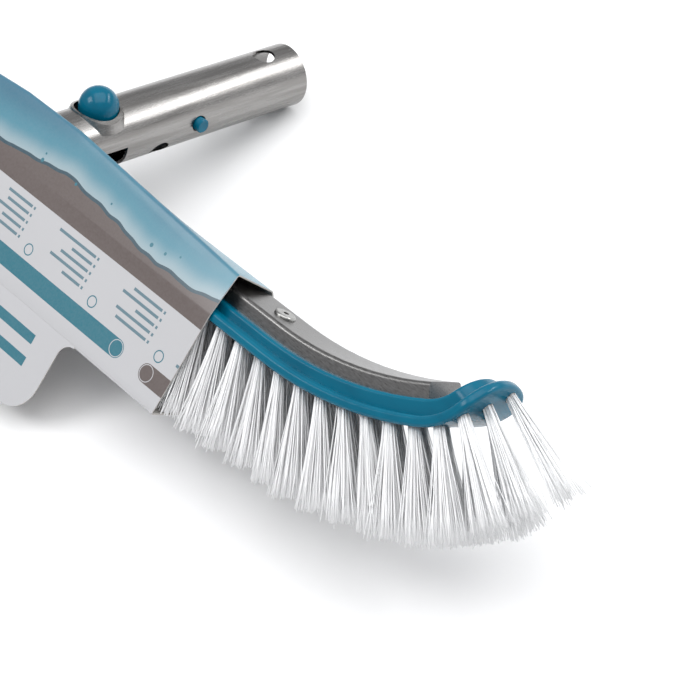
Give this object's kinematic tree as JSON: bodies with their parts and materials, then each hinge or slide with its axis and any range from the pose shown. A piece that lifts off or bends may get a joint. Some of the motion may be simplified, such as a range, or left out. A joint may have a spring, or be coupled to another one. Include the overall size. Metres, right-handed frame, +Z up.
{
  "type": "pool wall brush",
  "caption": "Curved pool wall brush: aluminium-backed head with rows of white bristle tufts, a slanting handle tube with a spring-pin lock, and a printed card sleeve round its middle.",
  "frame": {"origin": "on the resting surface, under the middle of the whole object's box", "axes": "+X along the head, +Y from the head towards the free end of the handle tube, +Z up; the object lies at rest on the far foot of its card and the free end of its tube"},
  "size_m": [0.5584, 0.2088, 0.0859],
  "materials": {
    "tube_aluminium": "brushed lengthwise",
    "back_aluminium": "extruded, satin, slightly mottled",
    "rivet_metal": "pressed, satin",
    "blue_plastic": "moulded, glossy",
    "teal_plastic": "moulded, glossy",
    "lock_plastic": "moulded, matt",
    "spring_steel": "drawn wire",
    "bristles": "nylon filaments, slightly translucent",
    "printed_card": "printed board, thinly varnished"
  },
  "bodies": {
    "brush": {"aluminium_back": "back_aluminium", "back_rivets": "rivet_metal", "brush_body": "blue_plastic", "button_spring": "spring_steel", "card_sleeve": "printed_card", "ear_rivets": "rivet_metal", "handle_tube": "tube_aluminium", "lock_housing": "lock_plastic", "tufts_row1_left": "bristles", "tufts_row1_middle": "bristles", "tufts_row1_right": "bristles", "tufts_row2_left": "bristles", "tufts_row2_middle": "bristles", "tufts_row2_right": "bristles", "tufts_row3_left": "bristles", "tufts_row3_middle": "bristles", "tufts_row3_right": "bristles", "tufts_row4_left": "bristles", "tufts_row4_middle": "bristles", "tufts_row4_right": "bristles"},
    "button": {"push_button": "teal_plastic"},
    "plate": {"draw_plate": "lock_plastic"},
    "pin_right": {"lock_pin_right": "teal_plastic"},
    "pin_left": {"lock_pin_left": "teal_plastic"}
  },
  "joints": [
    {"name": "button_press", "type": "slide", "parent": "brush", "child": "button", "axis": [0, -0.3484, -0.9374], "range_m": [0, 0.005], "stiffness_N_per_m": 600, "springref_m": -0.004, "deforming": ["button_spring"]},
    {"name": "plate_draw", "type": "slide", "parent": "brush", "child": "plate", "axis": [0, 0.9374, -0.3484], "range_m": [0, 0.005]},
    {"name": "pin_right_retract", "type": "slide", "parent": "brush", "child": "pin_right", "axis": [-1, 0, 0], "range_m": [0, 0.003]},
    {"name": "pin_left_retract", "type": "slide", "parent": "brush", "child": "pin_left", "axis": [1, 0, 0], "range_m": [0, 0.003]}
  ],
  "couplings": [
    {"joint": "plate_draw", "follows": "button_press", "ratio": 1},
    {"joint": "pin_right_retract", "follows": "button_press", "ratio": 0.6},
    {"joint": "pin_left_retract", "follows": "button_press", "ratio": 0.6}
  ]
}
